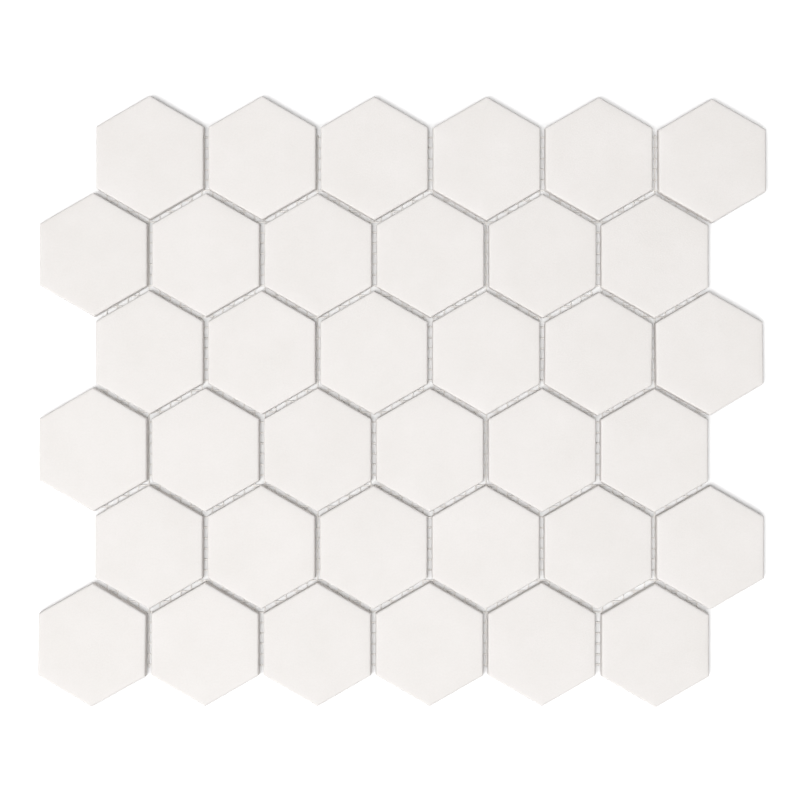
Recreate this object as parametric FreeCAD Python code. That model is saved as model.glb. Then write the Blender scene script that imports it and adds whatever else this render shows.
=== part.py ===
import FreeCAD, Part
import math
import os

# A net-backed sheet of hexagonal porcelain mosaic for floors, in millimetres.
# Six staggered rows of six tiles are bonded by their backs to a flat net of glass-fibre
# strands, which holds them at an even joint until they are laid and grouted.
# The origin is on the floor under the middle of the sheet. +X runs along the rows,
# +Y runs from row 6 up to row 1, and +Z points out of the walking face.

# Layout of the sheet
rows = 6
columns = 6
joint_width = 2.0

# The tile, a pressed hexagon that stands on a point with flats at its left and right
tile_width = 51.0
tile_thickness = 5.0
edge_round = 1.2

# Keying channels pressed into the tile's back, parallel to X
channel_count = 5
channel_width = 4.0
rib_width = 4.0
channel_depth = 0.5
back_border = 4.0

# How far the tiles lie from a perfect grid: row 1 stands to the right of the last row and
# falls towards its right-hand end, and the rows between follow in proportion
top_row_shift = 0.6
top_row_fall = 1.2
# Tiles that slipped by themselves, as row and column: slip right, slip up, turn in degrees
slips = {
    (1, 6): (0.5, -0.6, 0.3),
    (3, 5): (0.0, -0.3, -0.7),
    (3, 6): (-0.6, 0.0, 0.6),
    (6, 1): (-0.3, -0.3, -0.8),
    (6, 6): (0.6, -0.5, 0.0),
}

# The net: warp strands along Y against the floor, weft strands along X bonded over them
net_pitch = 5.0
strand_width = 0.9
strand_thickness = 0.25
net_inset = 2.5
shortest_strand = 2 * net_pitch

# Worked out from the sizes above
tile_pitch = tile_width + joint_width
row_pitch = tile_pitch * math.sqrt(3) / 2
stagger = tile_pitch / 4
net_thickness = 2 * strand_thickness


def hexagon(across_flats):
    """A hexagonal face round the Z axis, with two of its flats facing along X."""
    reach = across_flats / math.sqrt(3)
    angles = [math.radians(30 + 60 * step) for step in range(7)]
    corners = [FreeCAD.Vector(reach * math.cos(a), reach * math.sin(a), 0) for a in angles]
    return Part.Face(Part.makePolygon(corners))


def upwards(face, height):
    """The prism that a flat face sweeps out on its way up."""
    return face.extrude(FreeCAD.Vector(0, 0, height))


def back_channels():
    """The channels that leave ribs on the tile's back, stopping short of its border."""
    inner = upwards(hexagon(tile_width - 2 * back_border), channel_depth)
    bars = []
    for index in range(channel_count):
        middle = (index - (channel_count - 1) / 2) * (channel_width + rib_width)
        corner = FreeCAD.Vector(-tile_width, middle - channel_width / 2, 0)
        bars.append(Part.makeBox(2 * tile_width, channel_width, channel_depth, corner))
    return inner.common(Part.makeCompound(bars))


def tile():
    """One tile, with its back at z = 0 and its middle on the Z axis."""
    body = upwards(hexagon(tile_width), tile_thickness)
    walking_face = max(body.Faces, key=lambda face: face.CenterOfMass.z)
    return body.makeFillet(edge_round, walking_face.Edges).cut(back_channels())


def cell_centre(row, column):
    """Middle of a tile's place, with rows counted from the top and columns from the left."""
    x = (column - (columns + 1) / 2) * tile_pitch + (stagger if row % 2 else -stagger)
    y = ((rows + 1) / 2 - row) * row_pitch
    return FreeCAD.Vector(x, y, 0)


def bonded_place(row, column):
    """Where a tile lies on the net, with the small errors of the real sheet."""
    centre = cell_centre(row, column)
    across = centre.x / (columns * tile_pitch)
    upward = centre.y / (rows * row_pitch)
    right, up, turn = slips.get((row, column), (0, 0, 0))
    right += top_row_shift * upward
    up -= top_row_fall * across * (upward + 0.5)
    centre += FreeCAD.Vector(right, up, net_thickness)
    return FreeCAD.Placement(centre, FreeCAD.Rotation(FreeCAD.Vector(0, 0, 1), turn))


def every_cell():
    """Each row and column in turn."""
    return [(row, column) for row in range(1, rows + 1) for column in range(1, columns + 1)]


def net_area():
    """The notched area that the net covers, drawn in from the outer edges of the tiles."""
    cell = hexagon(tile_pitch)
    cells = [cell.translated(cell_centre(row, column)) for row, column in every_cell()]
    tiled = cells[0].multiFuse(cells[1:]).removeSplitter().Faces[0]
    mitred = 2
    return tiled.makeOffset2D(-(joint_width / 2 + net_inset), mitred)


def strands(area, along_x, base_z):
    """One layer of parallel strands, trimmed to the area, as solids that don't touch."""
    box = area.BoundBox
    length, span = (box.XLength, box.YLength) if along_x else (box.YLength, box.XLength)
    reach = math.floor(span / 2 / net_pitch)
    bars = []
    for index in range(-reach, reach + 1):
        side = index * net_pitch - strand_width / 2
        corner = (-length, side, base_z) if along_x else (side, -length, base_z)
        size = (2 * length, strand_width) if along_x else (strand_width, 2 * length)
        bars.append(Part.makeBox(*size, strand_thickness, FreeCAD.Vector(*corner)))
    trimmed = Part.makeCompound(bars).common(upwards(area, net_thickness))
    run = "XLength" if along_x else "YLength"
    kept = [solid for solid in trimmed.Solids if getattr(solid.BoundBox, run) > shortest_strand]
    return Part.makeCompound(kept)


def main():
    os.makedirs("parts", exist_ok=True)
    pressed = tile()
    for row, column in every_cell():
        bonded = pressed.copy()
        bonded.Placement = bonded_place(row, column)
        bonded.exportStep(f"parts/tile_r{row}_c{column}.step")
    area = net_area()
    strands(area, along_x=False, base_z=0).exportStep("parts/mesh_warp_strands.step")
    strands(area, along_x=True, base_z=strand_thickness).exportStep("parts/mesh_weft_strands.step")


main()
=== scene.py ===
import math
import random

import bmesh
import bpy
import numpy as np
from mathutils import Matrix, Vector, noise


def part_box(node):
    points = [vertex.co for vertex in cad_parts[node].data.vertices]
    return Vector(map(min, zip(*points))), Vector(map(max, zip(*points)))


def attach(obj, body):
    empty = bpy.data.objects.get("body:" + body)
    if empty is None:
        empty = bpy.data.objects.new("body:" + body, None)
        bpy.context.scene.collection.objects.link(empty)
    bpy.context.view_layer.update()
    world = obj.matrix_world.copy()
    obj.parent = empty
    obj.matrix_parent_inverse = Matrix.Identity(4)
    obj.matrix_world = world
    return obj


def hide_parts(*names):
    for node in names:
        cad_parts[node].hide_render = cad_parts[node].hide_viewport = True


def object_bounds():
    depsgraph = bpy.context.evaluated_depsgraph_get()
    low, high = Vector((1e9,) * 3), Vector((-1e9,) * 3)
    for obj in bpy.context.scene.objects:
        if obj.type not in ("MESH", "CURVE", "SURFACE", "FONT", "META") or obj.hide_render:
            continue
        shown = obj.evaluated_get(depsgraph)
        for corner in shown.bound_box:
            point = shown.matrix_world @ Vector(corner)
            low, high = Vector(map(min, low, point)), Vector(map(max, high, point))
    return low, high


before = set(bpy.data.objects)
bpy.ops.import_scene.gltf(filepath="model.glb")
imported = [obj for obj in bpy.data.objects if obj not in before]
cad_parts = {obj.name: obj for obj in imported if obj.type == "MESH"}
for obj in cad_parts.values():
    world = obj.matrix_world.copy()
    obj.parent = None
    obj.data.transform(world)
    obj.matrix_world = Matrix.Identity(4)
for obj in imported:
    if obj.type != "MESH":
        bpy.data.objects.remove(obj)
cad_low, cad_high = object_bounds()

# A sheet of white hexagonal porcelain tiles on a glass-fibre net, seen from straight above.
# All lengths are in metres, as the frame has them, unless a comment says otherwise.
MM = 0.001
random.seed(36)

# Finish of a pressed tile, beyond what the solid holds: its rim and corners are rounded, its
# walls lean in, and its face falls away a little towards the rim and isn't quite flat
corner_radius = 0.9 * MM
rim_radius = 0.95 * MM
rim_steps = 6
wall_draft = 0.16 * MM
foot_chamfer = 0.2 * MM
crown_drop = 0.2 * MM
crown_reach = 2.0 * MM
face_waviness = 0.035 * MM
wave_length = 17 * MM
arc_steps = 5
side_steps = 8
innermost_apothem = 2.5 * MM
smooth_below = math.radians(32)
# Corners of the rings further in: their least radius, how fast it grows with the square of the
# inset, and the most that it takes of the ring's own apothem
least_corner_radius = 0.25 * MM
inward_rounding = 0.9
roundest_ring = 0.98
# Rings of the walking face, in millimetres in from the edge of the tile
face_insets = [1.3, 1.9, 2.8, 4.2, 6.2, 9.0, 12.5, 16.5, 20.5]

# Keying channels in the tile's back
channel_count = 5
channel_width = 4.0 * MM
channel_pitch = 8.0 * MM
channel_depth = 0.5 * MM
channel_slope = 0.3 * MM
back_border = 4.0 * MM

# Yarns of the net, which is a leno cloth: pairs of warp yarns hold each weft yarn
net_pitch = 5.0 * MM
samples_per_cell = 4
section_sides = 6
warp_width = 0.42 * MM
warp_height = 0.15 * MM
warp_spread = 0.24 * MM
weft_width = 0.9 * MM
weft_height = 0.16 * MM
weft_pinch = 0.3
yarn_wander = 0.3 * MM
wander_length = 28 * MM
# How far apart neighbouring yarns read the noise, for each metre between them
wander_contrast = 400
# Which layers of the noise the two sets of yarns read
warp_layer = 0.0
weft_layer = 9.0
# Least share of a step that is left between a yarn's end and its next sample
end_clearance = 0.3
weld_distance = 0.001 * MM

# Porcelain: warm white, with a slow mottle, specks and a finer dry grain
porcelain_dark = (0.845, 0.815, 0.79)
porcelain_light = (0.875, 0.845, 0.825)
mottle_scale = 45.0
speck_scale = 1100.0
grain_scale = 3000.0
speck_values = (0.986, 1.008)
speck_span = (0.32, 0.68)
porcelain_roughness = (0.52, 0.7)
porcelain_specular = 0.4
porcelain_bump = 0.05 * MM
tile_tones = (0.992, 1.004)

# Glass yarn in a white coating, with its filaments running along it
yarn_dark = (0.74, 0.718, 0.692)
yarn_light = (0.853, 0.83, 0.8)
filament_scale = 5.0
filament_bump = 0.03 * MM
coating_scale = 260.0
coating_roughness = (0.35, 0.6)

# The floor, which shows white in the open, with painted shade in its glow in the joints and at the
# tiles' feet
floor_reach = 12.0
floor_gap = 0.02 * MM
floor_dark = (0.82, 0.82, 0.82)
floor_light = (0.84, 0.84, 0.84)
floor_cloud_scale = 30.0
floor_roughness = 0.9
floor_shade_reach = 8 * MM
shaded_glow = 0.05
shade_span = (0.38, 0.95)
# White that the floor shows by itself, near the sheet and far from it, and where it changes
near_glow = 0.45
far_glow = 1.0
glow_span = (0.4, 1.6)

# Each lamp's azimuth from +X, its elevation, the side of its square and its power in watts
lamp_distance = 4.5
lamps = {
    "key_lamp": (219, 72, 2.2, 120),
    "top_lamp": (0, 90, 1.8, 41),
    "side_lamp": (215, 30, 1.6, 43),
    "low_lamp": (290, 45, 1.6, 25),
}
white = (1.0, 1.0, 1.0, 1.0)
world_light = 0.08

# The photograph looks straight down on the sheet
camera_height = 0.85
picture_width = 0.3773
camera_offset = Vector((-0.94 * MM, 0.6 * MM, 0))


def new_material(name):
    """A node material with its tree and its main shader."""
    material = bpy.data.materials.new(name)
    material.use_nodes = True
    tree = material.node_tree
    return material, tree, tree.nodes["Principled BSDF"]


def noise_node(tree, place, scale, detail=2.0, roughness=0.5):
    """A noise texture read at the given place."""
    node = tree.nodes.new("ShaderNodeTexNoise")
    node.inputs["Scale"].default_value = scale
    node.inputs["Detail"].default_value = detail
    node.inputs["Roughness"].default_value = roughness
    tree.links.new(place, node.inputs["Vector"])
    return node.outputs["Fac"]


def ramp_node(tree, factor, low, high, start=0.3, end=0.7):
    """A colour that runs from low to high as the factor goes from start to end."""
    node = tree.nodes.new("ShaderNodeValToRGB")
    first, last = node.color_ramp.elements
    first.position, last.position = start, end
    first.color, last.color = (*low, 1), (*high, 1)
    tree.links.new(factor, node.inputs["Fac"])
    return node.outputs["Color"]


def range_node(tree, value, low, high, start=0.3, end=0.7):
    """A number that runs from low to high as the value goes from start to end."""
    node = tree.nodes.new("ShaderNodeMapRange")
    node.inputs["From Min"].default_value = start
    node.inputs["From Max"].default_value = end
    node.inputs["To Min"].default_value = low
    node.inputs["To Max"].default_value = high
    tree.links.new(value, node.inputs["Value"])
    return node.outputs["Result"]


def math_node(tree, operation, first, second):
    """The result of an arithmetic operation on two sockets."""
    node = tree.nodes.new("ShaderNodeMath")
    node.operation = operation
    tree.links.new(first, node.inputs[0])
    tree.links.new(second, node.inputs[1])
    return node.outputs["Value"]


def bump_node(tree, height, distance, below=None):
    """A bump of the given depth, laid over another bump where one is given."""
    node = tree.nodes.new("ShaderNodeBump")
    node.inputs["Distance"].default_value = distance
    tree.links.new(height, node.inputs["Height"])
    if below is not None:
        tree.links.new(below, node.inputs["Normal"])
    return node.outputs["Normal"]


def background_rays(tree):
    """1 for the rays that should meet the white background, and 0 for those that carry light."""
    path = tree.nodes.new("ShaderNodeLightPath")
    seen = math_node(tree, "MAXIMUM", path.outputs["Is Camera Ray"], path.outputs["Is Glossy Ray"])
    return math_node(tree, "MAXIMUM", seen, path.outputs["Is Transmission Ray"])


def porcelain():
    """Matte unglazed porcelain, each tile in a tone of its own."""
    material, tree, shader = new_material("porcelain")
    place = tree.nodes.new("ShaderNodeTexCoord").outputs["Object"]
    mottle = noise_node(tree, place, mottle_scale, detail=4.0, roughness=0.6)
    grain = noise_node(tree, place, grain_scale, detail=3.0, roughness=0.65)
    speck = noise_node(tree, place, speck_scale)
    tone = tree.nodes.new("ShaderNodeAttribute")
    tone.attribute_name = "tile_shade"
    value = range_node(tree, speck, *speck_values, *speck_span)
    toned = tree.nodes.new("ShaderNodeHueSaturation")
    body = ramp_node(tree, mottle, porcelain_dark, porcelain_light)
    tree.links.new(body, toned.inputs["Color"])
    tree.links.new(math_node(tree, "MULTIPLY", value, tone.outputs["Fac"]), toned.inputs["Value"])
    tree.links.new(toned.outputs["Color"], shader.inputs["Base Color"])
    tree.links.new(range_node(tree, grain, *porcelain_roughness), shader.inputs["Roughness"])
    coarse = bump_node(tree, speck, porcelain_bump)
    tree.links.new(bump_node(tree, grain, porcelain_bump, coarse), shader.inputs["Normal"])
    shader.inputs["Specular IOR Level"].default_value = porcelain_specular
    return material


def glass_fibre():
    """The yarn of the net."""
    material, tree, shader = new_material("glass_fibre_net")
    along = tree.nodes.new("ShaderNodeAttribute")
    along.attribute_name = "yarn_place"
    filaments = noise_node(tree, along.outputs["Vector"], filament_scale, detail=3.0, roughness=0.6)
    place = tree.nodes.new("ShaderNodeTexCoord").outputs["Object"]
    coating = noise_node(tree, place, coating_scale)
    colour = ramp_node(tree, filaments, yarn_dark, yarn_light)
    tree.links.new(colour, shader.inputs["Base Color"])
    tree.links.new(range_node(tree, coating, *coating_roughness), shader.inputs["Roughness"])
    tree.links.new(bump_node(tree, filaments, filament_bump), shader.inputs["Normal"])
    return material


def table_white():
    """The floor: white to the camera in the open, with lamp shadows on it and painted shade in its
    glow in the joints and at the tiles' feet.
    """
    material, tree, shader = new_material("white_table")
    place = tree.nodes.new("ShaderNodeTexCoord").outputs["Object"]
    cloud = noise_node(tree, place, floor_cloud_scale)
    tree.links.new(ramp_node(tree, cloud, floor_dark, floor_light), shader.inputs["Base Color"])
    shader.inputs["Roughness"].default_value = floor_roughness
    shader.inputs["Specular IOR Level"].default_value = 0.0
    shader.inputs["Emission Color"].default_value = white
    # Painted shade: ambient occlusion dims the floor's glow in the joints and at the tiles' feet
    shade_occlusion = tree.nodes.new("ShaderNodeAmbientOcclusion")
    shade_occlusion.inputs["Distance"].default_value = floor_shade_reach
    painted_shade = range_node(tree, shade_occlusion.outputs["AO"], shaded_glow, 1.0, *shade_span)
    away = tree.nodes.new("ShaderNodeVectorMath")
    away.operation = "LENGTH"
    tree.links.new(place, away.inputs[0])
    strength = range_node(tree, away.outputs["Value"], near_glow, far_glow, *glow_span)
    glow = math_node(tree, "MULTIPLY", background_rays(tree), painted_shade)
    glow = math_node(tree, "MULTIPLY", glow, strength)
    tree.links.new(glow, shader.inputs["Emission Strength"])
    return material


def show(name, mesh, material, slot, *nodes):
    """Adds a mesh to the scene as a piece that stands for CAD nodes."""
    piece = bpy.data.objects.new(name, mesh)
    bpy.context.scene.collection.objects.link(piece)
    mesh.materials.clear()
    mesh.materials.append(material)
    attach(piece, "root")
    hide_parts(*nodes)


def outline(apothem, radius):
    """Points round a hexagon with flats at left and right and with rounded corners."""
    arm = (apothem - radius) * 2 / math.sqrt(3)
    turns = np.radians(np.linspace(-30, 30, arc_steps + 1))
    arcs = []
    for corner in range(6):
        heading = math.radians(30 + 60 * corner)
        arcs.append(np.column_stack((
            arm * math.cos(heading) + radius * np.cos(heading + turns),
            arm * math.sin(heading) + radius * np.sin(heading + turns),
        )))
    points = []
    for arc, following in zip(arcs, arcs[1:] + arcs[:1]):
        points.extend(arc)
        for step in range(1, side_steps):
            points.append(arc[-1] + (following[0] - arc[-1]) * step / side_steps)
    return np.array(points)


def tile_rings(apothem, thickness):
    """Inset and height of each ring, from the edge of the back to the middle of the face."""
    rings = [
        (foot_chamfer, 0.0),
        (0.0, foot_chamfer),
        (wall_draft / 2, thickness / 2),
    ]
    for step in range(rim_steps + 1):
        angle = math.pi / 2 * step / rim_steps
        inset = wall_draft + rim_radius * (1 - math.cos(angle))
        rings.append((inset, thickness - rim_radius + rim_radius * math.sin(angle)))
    rings += [(inset * MM, thickness) for inset in face_insets]
    rings.append((apothem - innermost_apothem, thickness))
    return rings


def crowned(inset, height, thickness):
    """Lowers the outer part of the walking face by a slight crown."""
    if height <= thickness / 2:
        return height
    past_rim = max(inset - rim_radius, 0)
    return height - crown_drop * math.exp(-past_rim / crown_reach) * height / thickness


def plain_tile(apothem, thickness):
    """A mesh of one tile round the Z axis, with its back at z = 0."""
    shape = bmesh.new()
    loops = []
    for inset, height in tile_rings(apothem, thickness):
        local = apothem - inset
        radius = max(corner_radius - inset, least_corner_radius)
        radius += inward_rounding * inset * inset / apothem
        level = crowned(inset, height, thickness)
        points = outline(local, min(radius, roundest_ring * local))
        loops.append([shape.verts.new((x, y, level)) for x, y in points])
    for lower, upper in zip(loops, loops[1:]):
        for index in range(len(lower)):
            after = (index + 1) % len(lower)
            shape.faces.new((lower[index], lower[after], upper[after], upper[index]))
    shape.faces.new(reversed(loops[0]))
    middle = shape.verts.new((0, 0, thickness))
    for index, vertex in enumerate(loops[-1]):
        shape.faces.new((vertex, loops[-1][(index + 1) % len(loops[-1])], middle))
    mesh = bpy.data.meshes.new("plain_tile")
    shape.to_mesh(mesh)
    shape.free()
    return mesh


def channel_cutters(apothem):
    """Sloping bars for the keying channels, standing out of the back as far as they cut into it."""
    inner = apothem - back_border
    tip = inner * 2 / math.sqrt(3)
    slope = channel_slope / channel_depth
    shape = bmesh.new()
    for index in range(channel_count):
        middle = (index - (channel_count - 1) / 2) * channel_pitch
        loops = []
        for height in (-channel_depth, channel_depth):
            draw_in = height * slope
            reach = channel_width / 2 - draw_in
            near, far = middle - reach, middle + reach
            near_end, far_end = (
                min(inner, (tip - abs(y)) * math.sqrt(3)) - draw_in for y in (near, far)
            )
            corners = [(-near_end, near), (near_end, near), (far_end, far), (-far_end, far)]
            loops.append([shape.verts.new((x, y, height)) for x, y in corners])
        shape.faces.new(reversed(loops[0]))
        shape.faces.new(loops[1])
        for corner in range(4):
            after = (corner + 1) % 4
            shape.faces.new((loops[0][corner], loops[0][after], loops[1][after], loops[1][corner]))
    mesh = bpy.data.meshes.new("channel_cutters")
    shape.to_mesh(mesh)
    shape.free()
    return mesh


def pressed_tile(apothem, thickness):
    """The plain tile with its keying channels cut, as one mesh."""
    scene = bpy.context.scene
    body = bpy.data.objects.new("pressed_tile", plain_tile(apothem, thickness))
    tool = bpy.data.objects.new("channel_tool", channel_cutters(apothem))
    scene.collection.objects.link(body)
    scene.collection.objects.link(tool)
    cut = body.modifiers.new("channels", "BOOLEAN")
    cut.operation = "DIFFERENCE"
    cut.solver = "EXACT"
    cut.object = tool
    graph = bpy.context.evaluated_depsgraph_get()
    mesh = bpy.data.meshes.new_from_object(body.evaluated_get(graph))
    bpy.data.objects.remove(body)
    bpy.data.objects.remove(tool)
    return mesh


def tile_place(node):
    """Middle of a CAD tile, its turn about Z, its apothem and its thickness."""
    low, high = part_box(node)
    middle = (low + high) / 2
    corners = np.array([v.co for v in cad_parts[node].data.vertices])
    arms = corners[:, :2] - np.array(middle.xy)
    reach = np.linalg.norm(arms, axis=1)
    far = arms[reach.argmax()]
    sector = math.radians(60)
    turn = math.atan2(far[1], far[0]) % sector - sector / 2
    place = Vector((middle.x, middle.y, low.z))
    return place, turn, reach.max() * math.sqrt(3) / 2, high.z - low.z


def lay_tile(node, pressed, thickness, material):
    """Lays one tile where its CAD node is, with a face and a tone of its own."""
    place, turn, _, _ = tile_place(node)
    mesh = pressed.copy()
    mesh.name = node
    mesh.transform(Matrix.Translation(place) @ Matrix.Rotation(turn, 4, "Z"))
    half_way_up = place.z + thickness / 2
    for vertex in mesh.vertices:
        if vertex.co.z > half_way_up:
            wave = noise.noise(vertex.co / wave_length) * 0.5 + 0.5
            vertex.co.z -= face_waviness * wave
    mesh.shade_smooth()
    mesh.set_sharp_from_angle(angle=smooth_below)
    shade = mesh.attributes.new("tile_shade", "FLOAT", "POINT")
    tone = random.uniform(*tile_tones)
    shade.data.foreach_set("value", [tone] * len(mesh.vertices))
    show(f"pressed_{node}", mesh, material, "porcelain", node)


def lay_tiles(material):
    """Every tile of the sheet."""
    tiles = sorted(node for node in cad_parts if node.startswith("tile_"))
    _, _, apothem, thickness = tile_place(tiles[len(tiles) // 2])
    pressed = pressed_tile(apothem, thickness)
    for node in tiles:
        lay_tile(node, pressed, thickness, material)


def loose_parts(node):
    """Corner points of each separate solid in a CAD node."""
    shape = bmesh.new()
    shape.from_mesh(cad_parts[node].data)
    bmesh.ops.remove_doubles(shape, verts=shape.verts, dist=weld_distance)
    parts = []
    seen = set()
    for start in shape.verts:
        if start in seen:
            continue
        seen.add(start)
        stack = [start]
        corners = []
        while stack:
            vertex = stack.pop()
            corners.append(tuple(vertex.co))
            for edge in vertex.link_edges:
                other = edge.other_vert(vertex)
                if other not in seen:
                    seen.add(other)
                    stack.append(other)
        parts.append(np.array(corners))
    shape.free()
    return parts


def strand_runs(node, axis):
    """Side position, start and end of each strand, which runs along the axis 0 or 1."""
    runs = []
    for corners in loose_parts(node):
        along = corners[:, axis]
        side = (corners[:, 1 - axis].min() + corners[:, 1 - axis].max()) / 2
        # A strand's ends are cut at a slant, so each end is taken at the mean of its corners.
        middle = (along.min() + along.max()) / 2
        runs.append((side, along[along < middle].mean(), along[along > middle].mean()))
    return sorted(runs)


def wander(side, along, layer):
    """A slow sideways drift of a yarn along its length."""
    return np.array([
        yarn_wander * noise.noise(Vector((side * wander_contrast, y / wander_length, layer)))
        for y in along
    ])


class YarnMesh:
    """Collects yarns of oval section into one mesh."""

    def __init__(self):
        self.points = []
        self.places = []
        self.faces = []
        self.count = 0

    def add(self, axis, along, side, height, half_width, half_height):
        """One yarn along the axis 0 or 1, from arrays of its place and its size."""
        angles = np.arange(section_sides) * 2 * math.pi / section_sides
        across = side[:, None] + half_width[:, None] * np.cos(angles)
        up = height[:, None] + half_height * np.sin(angles)
        run = np.repeat(along[:, None], section_sides, axis=1)
        order = (run, across, up) if axis == 0 else (across, run, up)
        self.points.append(np.stack(order, axis=2).reshape(-1, 3))
        place = np.broadcast_arrays(run / net_pitch, np.cos(angles), np.sin(angles))
        self.places.append(np.stack(place, axis=2).reshape(-1, 3))
        # Faces are turned round for a yarn along Y, so that they look outwards there too.
        outward = 1 if axis == 0 else -1
        for section in range(len(along) - 1):
            near = self.count + section * section_sides
            far = near + section_sides
            for corner in range(section_sides):
                after = (corner + 1) % section_sides
                quad = (near + corner, near + after, far + after, far + corner)
                self.faces.append(quad[::outward])
        start_cap = tuple(range(self.count, self.count + section_sides))
        end_cap = tuple(corner + (len(along) - 1) * section_sides for corner in start_cap)
        self.faces.append(start_cap[::-outward])
        self.faces.append(end_cap[::outward])
        self.count += len(along) * section_sides

    def finish(self, name):
        """The mesh, smooth and with its yarn places."""
        mesh = bpy.data.meshes.new(name)
        mesh.from_pydata(np.concatenate(self.points).tolist(), [], self.faces)
        places = mesh.attributes.new("yarn_place", "FLOAT_VECTOR", "POINT")
        places.data.foreach_set("vector", np.concatenate(self.places).ravel())
        mesh.shade_smooth()
        return mesh


def yarn_steps(start, end):
    """Evenly spaced places along a yarn, which fall on the crossings of the net."""
    step = net_pitch / samples_per_cell
    first = math.ceil(start / step + end_clearance)
    last = math.floor(end / step - end_clearance)
    return np.concatenate(([start], np.arange(first, last + 1) * step, [end]))


def warp_pair(yarns, side, start, end, middle_height, lift):
    """Two warp yarns that cross between the wefts, one passing over and one under each."""
    along = yarn_steps(start, end)
    drift = wander(side, along, warp_layer)
    swing = np.cos(math.pi * along / net_pitch)
    rise = np.cos(2 * math.pi * along / net_pitch)
    width = np.full(len(along), warp_width / 2)
    for sense in (1, -1):
        sideways = side + drift + sense * warp_spread * swing
        height = middle_height + sense * lift * rise
        yarns.add(1, along, sideways, height, width, warp_height / 2)


def weft_yarn(yarns, side, start, end, middle_height):
    """One flat weft yarn, pinched where a warp pair holds it."""
    along = yarn_steps(start, end)
    pinched = 1 - weft_pinch * (0.5 + 0.5 * np.cos(2 * math.pi * along / net_pitch)) ** 2
    sideways = side + wander(side, along, weft_layer)
    height = np.full(len(along), middle_height)
    yarns.add(0, along, sideways, height, weft_width / 2 * pinched, weft_height / 2)


def lay_net(material):
    """The leno net, in the place of the two layers of strands."""
    low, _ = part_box("mesh_warp_strands")
    _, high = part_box("mesh_weft_strands")
    middle_height = (low.z + high.z) / 2
    lift = (high.z - low.z) / 2 - warp_height / 2
    warps = strand_runs("mesh_warp_strands", 1)
    for half in ("left", "right"):
        yarns = YarnMesh()
        for side, start, end in warps:
            if (side >= 0) == (half == "right"):
                warp_pair(yarns, side, start, end, middle_height, lift)
        name = f"warp_yarns_{half}"
        show(name, yarns.finish(name), material, "glass_fibre_net", "mesh_warp_strands")
    yarns = YarnMesh()
    for side, start, end in strand_runs("mesh_weft_strands", 0):
        weft_yarn(yarns, side, start, end, middle_height)
    name = "weft_yarns"
    show(name, yarns.finish(name), material, "glass_fibre_net", "mesh_weft_strands")


def studio_floor():
    """A plain white floor that the sheet lies on."""
    signs = [(-1, -1), (1, -1), (1, 1), (-1, 1)]
    corners = [(x * floor_reach, y * floor_reach, -floor_gap) for x, y in signs]
    mesh = bpy.data.meshes.new("studio_floor")
    mesh.from_pydata(corners, [], [(0, 1, 2, 3)])
    mesh.materials.append(table_white())
    floor = bpy.data.objects.new("studio_floor", mesh)
    bpy.context.scene.collection.objects.link(floor)


def area_lamp(name, azimuth, elevation, size, power):
    """A soft lamp that faces the middle of the sheet."""
    data = bpy.data.lights.new(name, "AREA")
    data.shape = "SQUARE"
    data.size = size
    data.energy = power
    lamp = bpy.data.objects.new(name, data)
    turn = math.radians(azimuth)
    climb = math.radians(elevation)
    level = math.cos(climb)
    towards = Vector((level * math.cos(turn), level * math.sin(turn), math.sin(climb)))
    lamp.location = lamp_distance * towards
    lamp.rotation_euler = towards.to_track_quat("Z", "Y").to_euler()
    bpy.context.scene.collection.objects.link(lamp)


def studio_world():
    """Even white light all round, and a white background."""
    world = bpy.data.worlds.new("studio_world")
    bpy.context.scene.world = world
    world.use_nodes = True
    tree = world.node_tree
    background = tree.nodes["Background"]
    background.inputs["Color"].default_value = white
    strength = range_node(tree, background_rays(tree), world_light, 1.0, 0.0, 1.0)
    tree.links.new(strength, background.inputs["Strength"])


def photo_camera():
    """The camera, straight above the sheet with +Y up in the picture."""
    data = bpy.data.cameras.new("photo_camera")
    data.lens_unit = "FOV"
    data.angle = 2 * math.atan(picture_width / 2 / camera_height)
    camera = bpy.data.objects.new("photo_camera", data)
    camera.location = camera_offset + Vector((0, 0, cad_high.z + camera_height))
    bpy.context.scene.collection.objects.link(camera)
    bpy.context.scene.camera = camera


lay_tiles(porcelain())
lay_net(glass_fibre())
studio_floor()
studio_world()
for lamp_name, lamp_values in lamps.items():
    area_lamp(lamp_name, *lamp_values)
photo_camera()
bpy.context.scene.view_settings.view_transform = "Standard"
